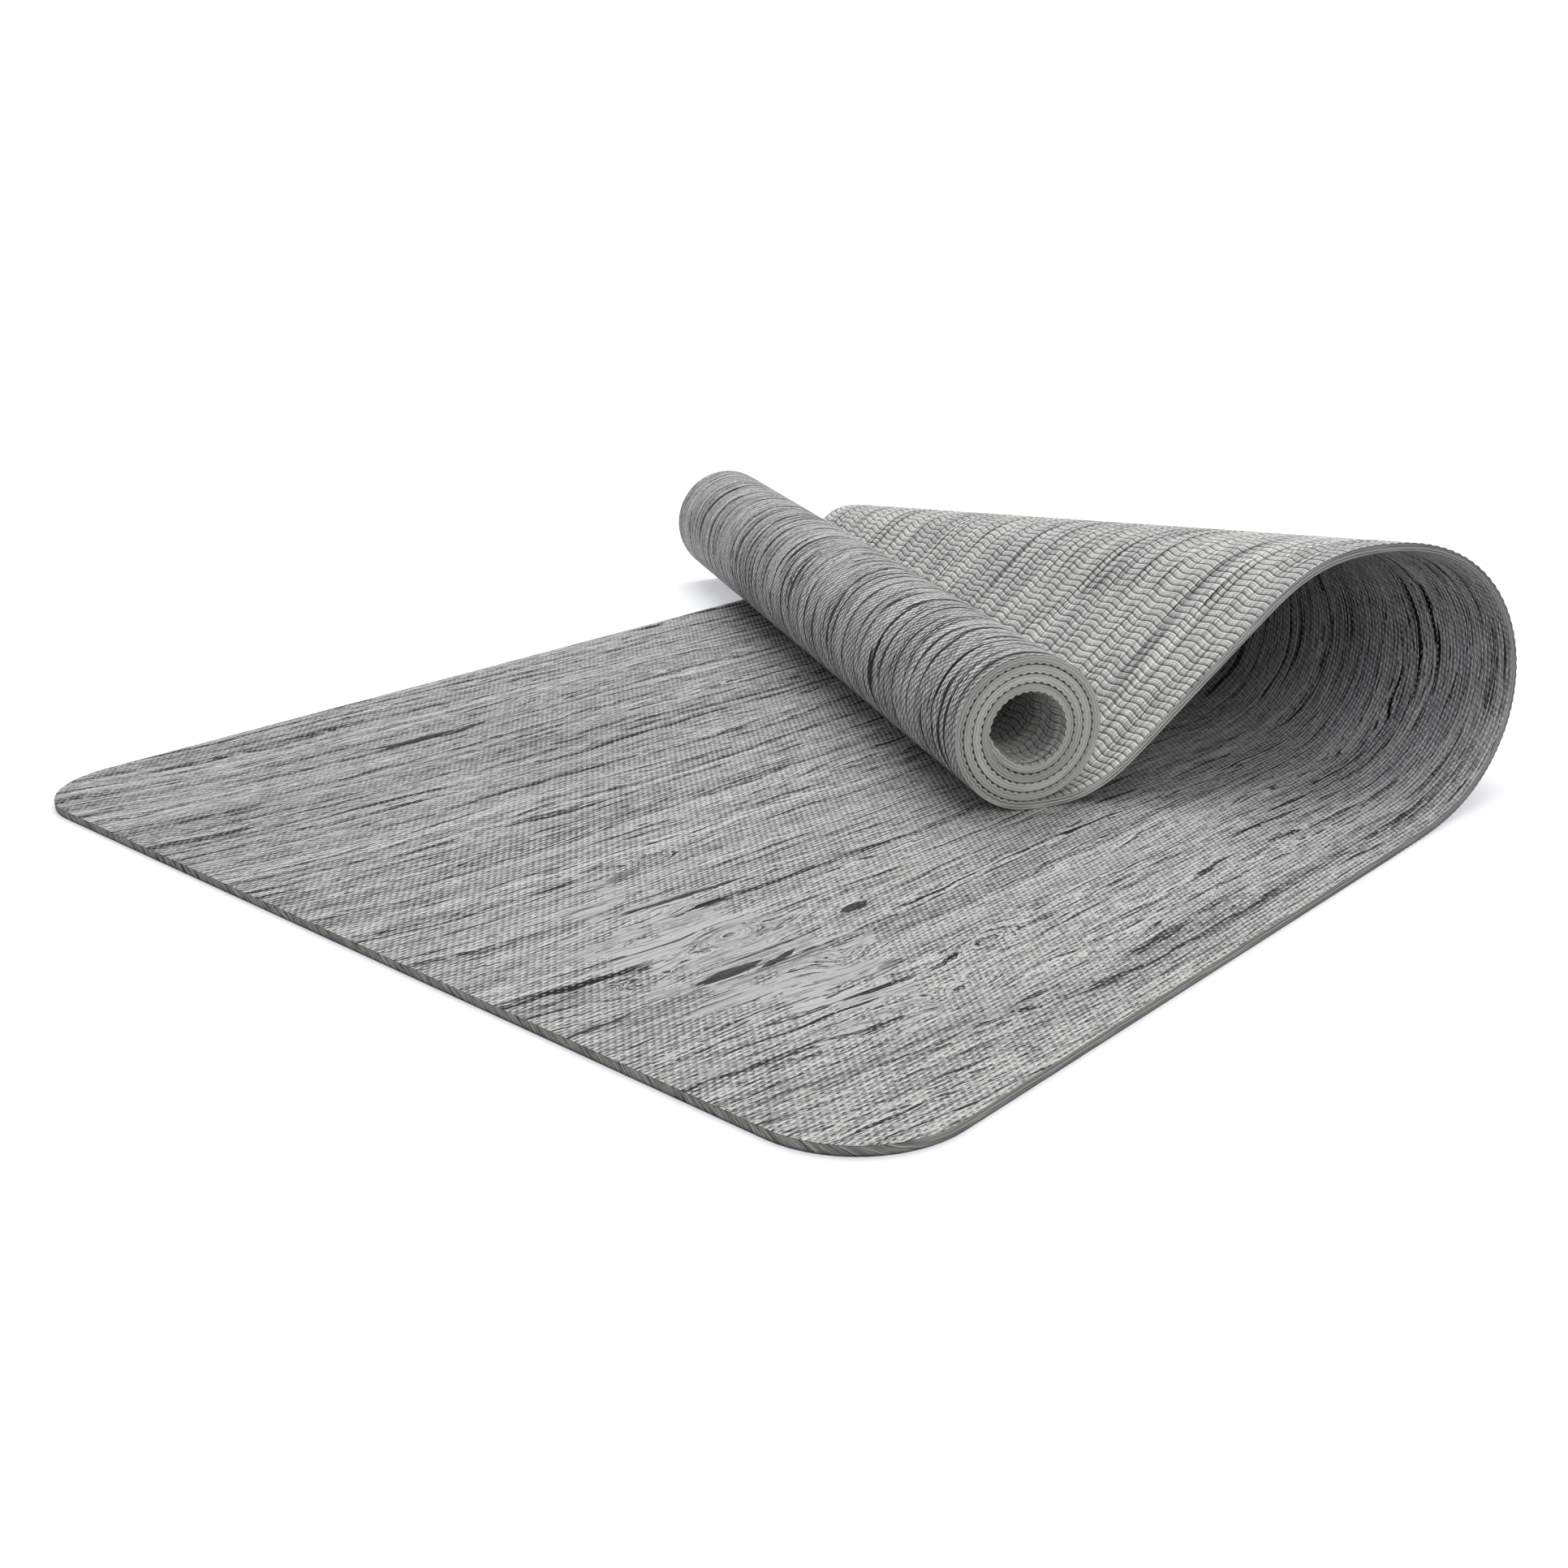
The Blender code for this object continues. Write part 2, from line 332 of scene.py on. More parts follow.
@dataclass(frozen=True)
class Winding:
    """The roll: the sheet past the fold, wound up towards its underside."""

    wound: float
    half_thickness: float
    bore_radius: float = 0.0167
    pitch: float = 0.00488

    @property
    def growth(self) -> float:
        """How much the radius shrinks with each radian."""
        return self.pitch / math.tau

    @property
    def start_radius(self) -> float:
        """The radius of the sheet's middle where the roll starts."""
        core = self.bore_radius + self.half_thickness
        return math.sqrt(core**2 + 2 * self.growth * self.wound)

    def curled(self, run: np.ndarray, height: np.ndarray) -> tuple[np.ndarray, np.ndarray]:
        """Where places of the flat sheet come once it's rolled up.

        Args:
            run: Lengths past the start of the roll.
            height: Heights over the middle of the sheet.

        Returns:
            How far along and how high each place comes, from the start of the roll.
        """
        start = self.start_radius
        angle = (start - np.sqrt(np.maximum(start**2 - 2 * self.growth * run, 0))) / self.growth
        radius = start - self.growth * angle + height
        return radius * np.sin(angle), radius * np.cos(angle) - start


class Mat:
    """The shape of the whole sheet, from its flat layout to its place in the frame.

    Args:
        record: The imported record, whose first joint says where the fold starts.
    """

    def __init__(self, record: dict[str, Any]) -> None:
        self.sizes = SheetSizes()
        self.bends = BendSizes()
        self.fold = Fold.settled(self.sizes, self.bends)
        self.winding = Winding(self.sizes.length - self.bends.roll_start, self.sizes.half_thickness)
        hinge = record["behaviour"]["joints"][0]
        near, far = self.fold.line(0)
        along = far - near
        turn = math.atan2(hinge["axis"][1], hinge["axis"][0]) - math.atan2(along[1], along[0])
        rotation = turn_about(np.zeros(3), np.array([0, 0, 1.0]), turn)
        middle = rotation[:3, :3] @ ((near + far) / 2)
        x, y, _ = hinge["pos_m"]
        self.placement = shift_by((x - middle[0], y - middle[1], 0)) @ rotation

    def placed(self, station: np.ndarray, across: np.ndarray, height: np.ndarray) -> np.ndarray:
        """Where places of the flat sheet are in the frame.

        Args:
            station: Lengths along the mat.
            across: Distances from the centre line.
            height: Heights over the middle of the sheet.

        Returns:
            One row of x, y and z for each place.
        """
        start = self.bends.roll_start
        rolled = station > start
        along, curled_height = self.winding.curled(np.maximum(station - start, 0), height)
        flat = np.column_stack([
            np.where(rolled, start + along, station),
            across,
            np.where(rolled, curled_height, height),
        ])
        facet = np.searchsorted(self.fold.line_shares, self.fold.share_at(station, across))
        facet[rolled] = len(self.fold.frames) - 1
        motion = np.einsum("ij,njk->nik", self.placement, self.fold.frames[facet])
        return np.einsum("nij,nj->ni", motion[:, :3, :3], flat) + motion[:, :3, 3]

    def line_points(self, share: float) -> np.ndarray:
        """The ends of a bend line in the frame, near edge first, on the middle of the sheet."""
        ends = self.fold.line(share)
        return self.placed(ends[:, 0], ends[:, 1], ends[:, 2])


@dataclass(frozen=True)
class RibRelief:
    """The wavy ribs across the under face."""

    pitch: float = 0.00452
    wave_period: float = 0.0252
    wave_start: float = -0.0039
    wave_reach: float = 0.00090
    depth: float = 0.00045
    roll_depth: float = 0.00080
    roll_rise: float = 0.00027
    sharpness: float = 1.4
    fade: float = 0.03

    def valley(self, station: np.ndarray, across: np.ndarray) -> np.ndarray:
        """How deep the grooves between the ribs are here, from 0 on a rib to 1 in a groove."""
        wave = self.wave_reach * np.sin(math.tau * (across - self.wave_start) / self.wave_period)
        return (0.5 + 0.5 * np.cos(math.tau * (station + wave) / self.pitch)) ** self.sharpness


def smooth_step(low: float, high: float, value: np.ndarray) -> np.ndarray:
    """Rises smoothly from 0 at low to 1 at high."""
    share = np.clip((value - low) / (high - low), 0, 1)
    return share * share * (3 - 2 * share)


@dataclass
class SheetPiece:
    """One piece of the sheet: a slab cut out of the flat sheet and bent into its place.

    Args:
        mat: The whole mat.
        name: The piece's name.
        stations: Where its cross lines lie along the mat.
        acrosses: Where its long lines lie across it.
        first_share: The bend line that it starts at, if it starts at one.
        last_share: The bend line that it ends at, if it ends at one.
        relief: The ribs on its under face.
    """

    mat: Mat
    name: str
    stations: np.ndarray
    acrosses: np.ndarray
    first_share: float | None = None
    last_share: float | None = None
    relief: RibRelief = field(default_factory=RibRelief)

    def flat_slab(self) -> bmesh.types.BMesh:
        """The piece laid out flat, with x along the mat, y across it and z through its thickness."""
        slab = bmesh.new()
        columns, rows = len(self.stations) - 1, len(self.acrosses) - 1
        to_index = Matrix.Translation((columns / 2, rows / 2, 0)) @ Matrix.Diagonal((columns, rows, 1, 1))
        bmesh.ops.create_grid(slab, x_segments=columns, y_segments=rows, size=0.5, matrix=to_index)
        for vertex in slab.verts:
            vertex.co = (self.stations[round(vertex.co.x)], self.acrosses[round(vertex.co.y)], 0)
        for share, outward in ((self.first_share, -1), (self.last_share, 1)):
            if share is not None:
                self.cut_at(slab, share, outward)
        bmesh.ops.solidify(slab, geom=slab.faces[:], thickness=self.mat.sizes.thickness)
        bmesh.ops.recalc_face_normals(slab, faces=slab.faces[:])
        return slab

    def cut_at(self, slab: bmesh.types.BMesh, share: float, outward: int) -> None:
        """Cuts the flat piece off at a bend line.

        Args:
            slab: The flat piece.
            share: The bend line.
            outward: 1 to take away what lies past the line, and -1 what lies before it.
        """
        near, far = (Vector(end) for end in self.mat.fold.line(share))
        along = far - near
        away = Vector((along.y, -along.x, 0)).normalized() * outward
        whole = slab.verts[:] + slab.edges[:] + slab.faces[:]
        bmesh.ops.bisect_plane(
            slab, geom=whole, dist=CUT_TOLERANCE, plane_co=near, plane_no=away, clear_outer=True
        )

    def build(self, materials: Sequence[bpy.types.Material]) -> bpy.types.Object:
        """Makes the piece.

        Args:
            materials: The materials of the three sides, in the order of Side.

        Returns:
            The finished object, at the origin, with its place in its mesh.
        """
        sizes = self.mat.sizes
        slab = self.flat_slab()
        mesh = bpy.data.meshes.new(self.name)
        slab.to_mesh(mesh)
        slab.free()
        for material in materials:
            mesh.materials.append(material)
        self.assign_sides(mesh)
        flat = np.empty(len(mesh.vertices) * 3)
        mesh.vertices.foreach_get("co", flat)
        flat = flat.reshape(-1, 3)
        upper = flat[:, 2] > flat[:, 2].mean()
        station = flat[:, 0]
        across = flat[:, 1] * sizes.half_width_at(station) / sizes.half_width
        height = self.heights(station, across, upper)
        mesh.vertices.foreach_set("co", self.mat.placed(station, across, height).ravel())
        depth = np.where(upper, sizes.half_thickness, -sizes.half_thickness)
        places = mesh.attributes.new(SHEET_ATTRIBUTE, "FLOAT_VECTOR", "POINT")
        places.data.foreach_set("vector", np.column_stack([station, across, depth]).ravel())
        mesh.polygons.foreach_set("use_smooth", np.ones(len(mesh.polygons), bool))
        mesh.update()
        mesh.set_sharp_from_angle(angle=SHARP_ANGLE)
        piece = bpy.data.objects.new(self.name, mesh)
        bpy.context.scene.collection.objects.link(piece)
        return piece

    def assign_sides(self, mesh: bpy.types.Mesh) -> None:
        """Gives each face the material of its side.

        Args:
            mesh: The flat piece.
        """
        normals = np.empty(len(mesh.polygons) * 3)
        mesh.polygons.foreach_get("normal", normals)
        up = normals.reshape(-1, 3)[:, 2]
        sides = np.where(up > 0.5, Side.UPPER, np.where(up < -0.5, Side.UNDER, Side.CUT))
        mesh.polygons.foreach_set("material_index", sides.astype(np.int32))

    def heights(self, station: np.ndarray, across: np.ndarray, upper: np.ndarray) -> np.ndarray:
        """Heights of the piece's points over the middle of the sheet, with the ribs carved.

        Args:
            station: Lengths along the mat.
            across: Distances from the centre line.
            upper: Which points lie on the upper face.

        Returns:
            The heights.
        """
        relief, mat = self.relief, self.mat
        half = mat.sizes.half_thickness
        carved = smooth_step(0, relief.fade, mat.fold.share_at(station, across))
        start = mat.bends.roll_start
        rolled = smooth_step(start, start + 4 * relief.pitch, station)
        depth = relief.depth + (relief.roll_depth - relief.depth) * rolled
        under = -half - relief.roll_rise * rolled + depth * carved * relief.valley(station, across)
        return np.where(upper, half + mat.sizes.upper_rise * carved, under)


Number = Union["Value", float]


class Value:
    """A number of a material, on which Python's operators add Math nodes.

    Args:
        nodes: The nodes of the material.
        socket: The socket that gives the number.
    """

    def __init__(self, nodes: Nodes, socket: bpy.types.NodeSocket) -> None:
        self.nodes = nodes
        self.socket = socket

    def math(self, operation: str, *others: Number) -> Value:
        """This number and others through a Math node."""
        return self.nodes.math(operation, self, *others)

    def __add__(self, other: Number) -> Value:
        """The sum."""
        return self.math("ADD", other)

    __radd__ = __add__

    def __sub__(self, other: Number) -> Value:
        """The difference."""
        return self.math("SUBTRACT", other)

    def __rsub__(self, other: Number) -> Value:
        """The difference, from the other side."""
        return self.nodes.math("SUBTRACT", other, self)

    def __mul__(self, other: Number) -> Value:
        """The product."""
        return self.math("MULTIPLY", other)

    __rmul__ = __mul__

    def __truediv__(self, other: Number) -> Value:
        """The quotient."""
        return self.math("DIVIDE", other)

    def __abs__(self) -> Value:
        """The absolute value."""
        return self.math("ABSOLUTE")

    def fraction(self) -> Value:
        """What is left over the whole number below."""
        return self.math("FRACT")

    def floor(self) -> Value:
        """The whole number below."""
        return self.math("FLOOR")

    def squared(self) -> Value:
        """Times itself."""
        return self * self

    def at_least(self, other: Number) -> Value:
        """The larger of the two."""
        return self.math("MAXIMUM", other)

    def step(self, low: Number, high: Number) -> Value:
        """Rises smoothly from 0 at low to 1 at high."""
        inputs = {"Value": self, "From Min": low, "From Max": high}
        settings = {"interpolation_type": "SMOOTHSTEP"}
        return Value(self.nodes, self.nodes.add("ShaderNodeMapRange", settings, inputs))

    def fall(self, low: Number, high: Number) -> Value:
        """Falls smoothly from 1 at low to 0 at high."""
        return 1 - self.step(low, high)

    def noise(self, detail: float, roughness: float = 0.5) -> Value:
        """Smooth noise from 0 to 1 along a line, at this number of its grains."""
        inputs = {"W": self, "Scale": 1.0, "Detail": detail, "Roughness": roughness}
        return Value(self.nodes, self.nodes.add("ShaderNodeTexNoise", {"noise_dimensions": "1D"}, inputs))


class Nodes:
    """The nodes of one material, or of the world.

    Args:
        owner: The material or the world.
    """

    def __init__(self, owner: bpy.types.Material | bpy.types.World) -> None:
        owner.use_nodes = True
        self.owner = owner
        self.tree = owner.node_tree
        self.tree.nodes.clear()

    def add(
        self, kind: str, settings: dict[str, Any], inputs: dict[Any, Any], output: int | str = 0
    ) -> bpy.types.NodeSocket | None:
        """Adds one node.

        Args:
            kind: The type of the node.
            settings: Its properties, which are set first.
            inputs: What its sockets get.
            output: Which of its outputs is wanted.

        Returns:
            That output, or None where the node has none.
        """
        node = self.tree.nodes.new(kind)
        for name, setting in settings.items():
            setattr(node, name, setting)
        for name, given in inputs.items():
            self.feed(node.inputs[name], given)
        return node.outputs[output] if node.outputs else None

    def feed(self, socket: bpy.types.NodeSocket, given: Any) -> None:
        """Gives a socket what it gets.

        Args:
            socket: The socket.
            given: A number, a colour, a Value or another node's output.
        """
        if isinstance(given, Value):
            given = given.socket
        if isinstance(given, bpy.types.NodeSocket):
            self.tree.links.new(given, socket)
        else:
            socket.default_value = given

    def math(self, operation: str, *numbers: Number) -> Value:
        """Numbers through a Math node."""
        return Value(self, self.add("ShaderNodeMath", {"operation": operation}, dict(enumerate(numbers))))

    def layered(self, ground: Any, layers: Sequence[tuple[Number, Any]]) -> Any:
        """A colour with others laid over it in turn.

        Args:
            ground: The first colour.
            layers: Pairs of how far a colour covers those under it, and the colour.

        Returns:
            The colour on top.
        """
        for cover, colour in layers:
            inputs = {MixSocket.FACTOR: cover, MixSocket.UNDER: ground, MixSocket.OVER: colour}
            ground = self.add("ShaderNodeMix", {"data_type": "RGBA"}, inputs, MixSocket.MIXED)
        return ground

    def finish(
        self, colour: Any, roughness: Number, height: Value, reach: float, specular: float
    ) -> bpy.types.Material:
        """Closes the material with a matt rubber surface.

        Args:
            colour: Its colour.
            roughness: Its roughness.
            height: The fine relief, in shares of its reach.
            reach: How far the relief goes, in metres.
            specular: How much light it mirrors.

        Returns:
            The material.
        """
        normal = self.add("ShaderNodeBump", {}, {"Strength": 1.0, "Distance": reach, "Height": height})
        inputs = {
            "Base Color": colour,
            "Roughness": roughness,
            "Specular IOR Level": specular,
            "Normal": normal,
        }
        surface = self.add("ShaderNodeBsdfPrincipled", {}, inputs)
        self.add("ShaderNodeOutputMaterial", {}, {"Surface": surface})
        return self.owner


def grey(*channels: float) -> Colour:
    """A colour as shaders use it.

    Args:
        channels: Its red, green and blue as a screen shows them, from 0 to 255.

    Returns:
        The colour, with its channels from 0 to 1 and linear.
    """

    def linear(shown: float) -> float:
        """One channel, from 0 to 1."""
        share = shown / 255
        return share / 12.92 if share <= 0.04045 else ((share + 0.055) / 1.055) ** 2.4

    return (*map(linear, channels), 1.0)


class Place(NamedTuple):
    """A point of the sheet in a material, in millimetres."""

    along: Value
    across: Value
    depth: Value

    def in_fold(self) -> Value:
        """0 on the bed and 1 in the fold and past it."""
        return self.along.step(380.0, 560.0)

    def on_roll(self) -> Value:
        """0 before the roll and 1 on it."""
        return self.along.step(600.0, 850.0)

    def noise(
        self, length: float, width: float, layer: Number, detail: float = 1.0, roughness: float = 0.5
    ) -> Value:
        """Smooth noise from 0 to 1.

        Args:
            length: The length of its grains.
            width: Their width.
            layer: The place in the noise's third direction, in grains.
            detail: How much finer noise it has.
            roughness: How strong that is.

        Returns:
            The noise at this point.
        """
        nodes = self.along.nodes
        vector = nodes.add(
            "ShaderNodeCombineXYZ", {}, {0: self.along / length, 1: self.across / width, 2: layer}
        )
        inputs = {"Vector": vector, "Scale": 1.0, "Detail": detail, "Roughness": roughness}
        return Value(nodes, nodes.add("ShaderNodeTexNoise", {}, inputs))


class Grain(NamedTuple):
    """The marbling at a point: its place across the flow, how light its bands are, and what darkens it."""

    flow: Value
    band: Value
    tone: Value
    line: Value
    vein: Value


@dataclass(frozen=True)
class Spot:
    """An oval spot: its place and its reach, in millimetres."""

    along: float
    across: float
    half_length: float
    half_width: float

    def away(self, place: Place) -> Value:
        """How far a place is from the middle of the spot.

        Args:
            place: The place.

        Returns:
            The square of the distance, with 1 on the edge of the spot.
        """
        along = (place.along - self.along) / self.half_length
        across = (place.across - self.across) / self.half_width
        return along.squared() + across.squared()


@dataclass(frozen=True)
class Knot(Spot):
    """A knot in the marbling, round which its lines run."""

    strength: float


@dataclass(frozen=True)
class Lens(Spot):
    """A lens of darker rubber, pointed at both ends, with its tilt in degrees."""

    tilt: float = 0.0


@dataclass(frozen=True)
class Marbling:
    """The marbling of the rubber, in millimetres. Its lines are contours of a long drawn field."""

    knots: tuple[Knot, ...] = ()
    seed: float = 0.0
    line_width: float = 1.9
    wander: float = 17.0
    wander_length: float = 230.0
    streak_length: float = 48.0
    wander_width: float = 34.0
    slant: float = 0.05
    sweep: float = 22.0
    sweep_length: float = 90.0

    def build(self, place: Place) -> Grain:
        """Adds the marbling's nodes.

        Args:
            place: The point of the sheet.

        Returns:
            The marbling there.
        """
        u, w = place.along, place.depth + self.seed
        swept = 1 - (u / -self.sweep_length).math("EXPONENT")
        flow = Place(u, place.across + u * self.slant + swept * self.sweep, w)
        level = self.level(flow)
        for knot in self.knots:
            level = level + (knot.away(place) * -1).math("EXPONENT") * knot.strength
        strength = flow.noise(self.streak_length, 4.0, w / 4 + 3)
        band = flow.noise(300, 13, w / 9 + 5, 2.0)
        broken = flow.noise(11, 2.0, w / 2 + 8, 2.0)
        tone = (level * 0.7 + self.seed * 3).noise(3.0, 0.62)
        vein = (level * 0.42 + 57 + self.seed).noise(2.0, 0.6)
        limit = 0.275 + (strength - 0.5) * 0.35
        bold = place.on_roll().at_least(place.across.step(-60.0, 160.0) * 0.8)
        away = abs((level * 0.2 + tone * 1.2).fraction() - 0.5)
        reach = (strength + (band - 0.5) * 0.3 + bold * 0.05 - 0.42) * (bold * 0.35 + 0.42)
        edge = abs(tone - 0.5) + abs(strength - 0.5) * 0.08
        line = away.fall(reach - 0.004, reach + 0.01).at_least(edge.fall(0.012, 0.03) * 0.75)
        whole = place.in_fold() * 0.4 + 0.55
        line = line * (broken.step(0.38, 0.5) * (1 - whole) + whole)
        fine = (level * 1.5 + 31 + self.seed).noise(1.0)
        fine = fine.fall(bold * 0.02 + 0.38, bold * 0.02 + 0.42) * broken.step(0.44, 0.52)
        hair = abs((level * 0.55 + tone * 1.1).fraction() - 0.5).fall(0.03, 0.09)
        line = line.at_least(fine * 0.95).at_least(hair * 0.3)
        tone = tone + (strength - 0.5) * 0.25
        return Grain(flow.across, band, tone, line, vein.fall(limit, limit + 0.025))

    def level(self, flow: Place) -> Value:
        """The field whose contours the lines follow.

        Args:
            flow: The point, along, across and through the flow.

        Returns:
            The field there.
        """
        wander = flow.noise(self.wander_length, self.wander_width, flow.depth / 14, 1.5)
        ripple = flow.noise(34, 9, flow.depth / 5)
        fray = flow.noise(16, 1.3, flow.depth / 2)
        straight = flow.across / self.line_width
        return straight + (wander - 0.5) * self.wander + (ripple - 0.5) * 3.2 + (fray - 0.5) * 0.55

def lens_mask(place: Place, lenses: Sequence[Lens]) -> Value:
    """Where the lenses of darker rubber lie.

    Args:
        place: The point of the sheet.
        lenses: The lenses.

    Returns:
        1 in a lens and 0 outside all of them.
    """
    sway = (place.noise(14, 6, 0.0, 2.0) - 0.5) * 5.0
    mask: Number = 0.0
    for lens in lenses:
        tilt = math.radians(lens.tilt)
        east = place.along - lens.along
        north = place.across - lens.across + sway
        along = (east * math.cos(tilt) + north * math.sin(tilt)) / lens.half_length
        across = abs(north * math.cos(tilt) - east * math.sin(tilt)) / lens.half_width
        inside = 1 - along.squared() - across
        mask = inside.step(0.0, 0.12).at_least(mask)
    return mask


def sheet_place(nodes: Nodes) -> Place:
    """The point of the sheet that a material colours.

    Args:
        nodes: The material.

    Returns:
        The point, in millimetres.
    """
    settings = {"attribute_type": "GEOMETRY", "attribute_name": SHEET_ATTRIBUTE}
    sheet = nodes.add("ShaderNodeAttribute", settings, {}, "Vector")
    parts = (nodes.add("ShaderNodeSeparateXYZ", {}, {0: sheet}, axis) for axis in "XYZ")
    return Place(*(Value(nodes, part) * MM for part in parts))


@dataclass(frozen=True)
class UpperFace:
    """The upper face: marbled, with a grain of small round bumps in staggered rows. The bumps get painted
    highlights on top and painted shadows in front, the roll is painted lighter, and the inside of the fold
    gets a painted bluish shade.
    """

    marbling: Marbling
    # crest is the colour of painted light: the highlights on the bump tops and the roll painted lighter
    crest: Colour = grey(246, 247, 246)
    light: Colour = grey(223, 223, 220)
    mid: Colour = grey(190, 190, 192)
    dusk: Colour = grey(100, 101, 107)
    dark: Colour = grey(4, 4, 8)
    smooth: Colour = grey(200, 201, 200)
    # the colour of the painted bluish shade inside the fold
    painted_fold_shade: Colour = grey(150, 134, 164)
    bump_pitch: float = 3.95
    row_pitch: float = 2.25
    bump_spot: Spot = Spot(0.0, 0.15, 1.5, 0.85)
    # the spot of the painted shadow in front of each bump
    shadow_spot: Spot = Spot(0.0, -0.85, 1.35, 0.5)
    patch: Spot = Spot(100, -145, 62, 122)
    bump: float = 0.0005
    lenses: tuple[Lens, ...] = (
        Lens(198, 209, 30, 3.6, -3),
        Lens(228, 205, 20, 2.4, 8),
        Lens(178, 213, 16, 1.6, -14),
        Lens(130, -83, 42, 1.7, -9),
        Lens(84, -157, 20, 3.2, -6),
        Lens(108, -163, 13, 1.8, 4),
        Lens(171, -151, 10, 3.4, 0),
        Lens(14, -152, 22, 1.1, -6),
    )
    pale_lenses: tuple[Lens, ...] = (
        Lens(129, -42, 12, 4.2, 3),
        Lens(134, -203, 9, 3.2, -8),
        Lens(62, -124, 12, 2.6, 4),
    )

    def build(self) -> bpy.types.Material:
        """The finished material."""
        nodes = Nodes(bpy.data.materials.new("upper_face"))
        place = sheet_place(nodes)
        grain = self.marbling.build(place)
        fold, rolled = place.in_fold(), place.on_roll()
        embossed = 1 - self.smooth_patch(place)
        bumps, painted_bump_shade = self.bumps(place)
        flowing = Place(place.along, grain.flow, place.depth)
        dapple = flowing.noise(7, 1.4, 7.0)
        speckle = flowing.noise(3.4, 0.9, 1.0, 3.0, 0.6)
        blotch = flowing.noise(20, 3.0, 9.0, 2.0)
        calm = 0.35 + embossed * 0.65
        rough = embossed * (1 - fold * 0.6)
        dark = (grain.line * 0.95).at_least(grain.vein)
        covered = bumps.step(0.4, 0.9) * embossed * dapple.step(0.3, 0.6) * (1 - rolled) * 0.5
        lit = dapple.step(0.2, 0.5).at_least(rolled)
        shown = dapple.step(0.2, 0.45).at_least(rolled)
        shaded = 0.7 + grain.tone.fall(0.42, 0.56).at_least(rolled) * 0.3
        colour = nodes.layered(self.light, (
            (grain.band.step(0.42, 0.62) * calm, self.mid),
            (grain.tone.fall(0.36, 0.48) * calm * (0.5 - rolled * 0.3), self.dusk),
            ((1 - embossed) * 0.8, self.smooth),
            # painted light: the whole roll is painted lighter
            (rolled * 0.75, self.crest),
            # painted shade: a bluish shade laid over the inside of the fold
            (fold * (1 - rolled) * 0.25, self.painted_fold_shade),
            (blotch.fall(0.36, 0.5) * rough * 0.5, self.dusk),
            (speckle.fall(0.36, 0.48) * (rough * 0.6 + 0.1), self.dusk),
            # painted highlight: the tops of the bumps are painted light, as where light falls on them
            (bumps.step(0.1, 0.6) * embossed * lit * 0.85, self.crest),
            (lens_mask(place, self.pale_lenses) * 0.6, self.dusk),
            (lens_mask(place, self.lenses) * 0.88, self.dark),
            (dark * (1 - covered), self.dark),
            # painted shadow: a dark dash in front of each bump, stronger where the marbling is dark
            (painted_bump_shade * shaded * embossed * shown, self.dark),
        ))
        return nodes.finish(colour, 0.62 + grain.band * 0.2, bumps * embossed, self.bump, 0.3)

    def smooth_patch(self, place: Place) -> Value:
        """Where the bumps are pressed flat, from 0 to 1."""
        ragged = place.noise(26, 13, 3.0, 3.0, 0.6) - 0.5
        return (self.patch.away(place) + ragged * 4.2).fall(0.3, 0.6)

    def bumps(self, place: Place) -> tuple[Value, Value]:
        """The bumps in their staggered rows.

        Args:
            place: The point of the sheet.

        Returns:
            How high a bump is here, up to 1 on top of it, and how dark the painted shadow in front of it
            is, with painted shade between the slanting lines of bumps on the roll.
        """
        wobble = place.noise(7, 7, 0.0) - 0.5
        rolled = place.on_roll()
        sway = place.noise(60, 40, 5.0) - 0.5
        tilt = (sway * 1.6 - place.across.step(20.0, 120.0) * 1.1 + 0.5) * (1 - rolled) + rolled * 0.88
        rows = place.across / self.row_pitch + wobble * 0.4
        shift = rows.floor().math("FLOORED_MODULO", 2.0) * 0.5
        cells = place.along / self.bump_pitch + shift + wobble * 0.3
        north = (rows.fraction() - 0.5) * self.row_pitch
        east = (cells.fraction() - 0.5) * self.bump_pitch + north * tilt
        lot = Place(cells.floor() * 0.8, rows.floor() * 0.9, place.depth).noise(1, 1, 2.0, 0.0)
        cell = Place(east, north, place.depth)
        bumps = 1 - self.bump_spot.away(cell)
        # painted shadow: a dark dash on the near side of each bump
        painted_bump_shade = 1 - self.shadow_spot.away(cell)
        # painted shade: on the roll the hollows between the slanting lines of bumps are painted dark, as
        # under grazing light
        ridge = ((place.along + place.across * 0.88) / self.bump_pitch + wobble * 0.5).fraction() - 0.5
        grooves = abs(ridge).fall(0.1, 0.3) * rolled * 0.5
        dark = (painted_bump_shade.step(0.0, 0.3) * lot.fall(0.5, 0.8)).at_least(grooves)
        return bumps.at_least(0.0) * (0.35 + lot * 1.3), dark


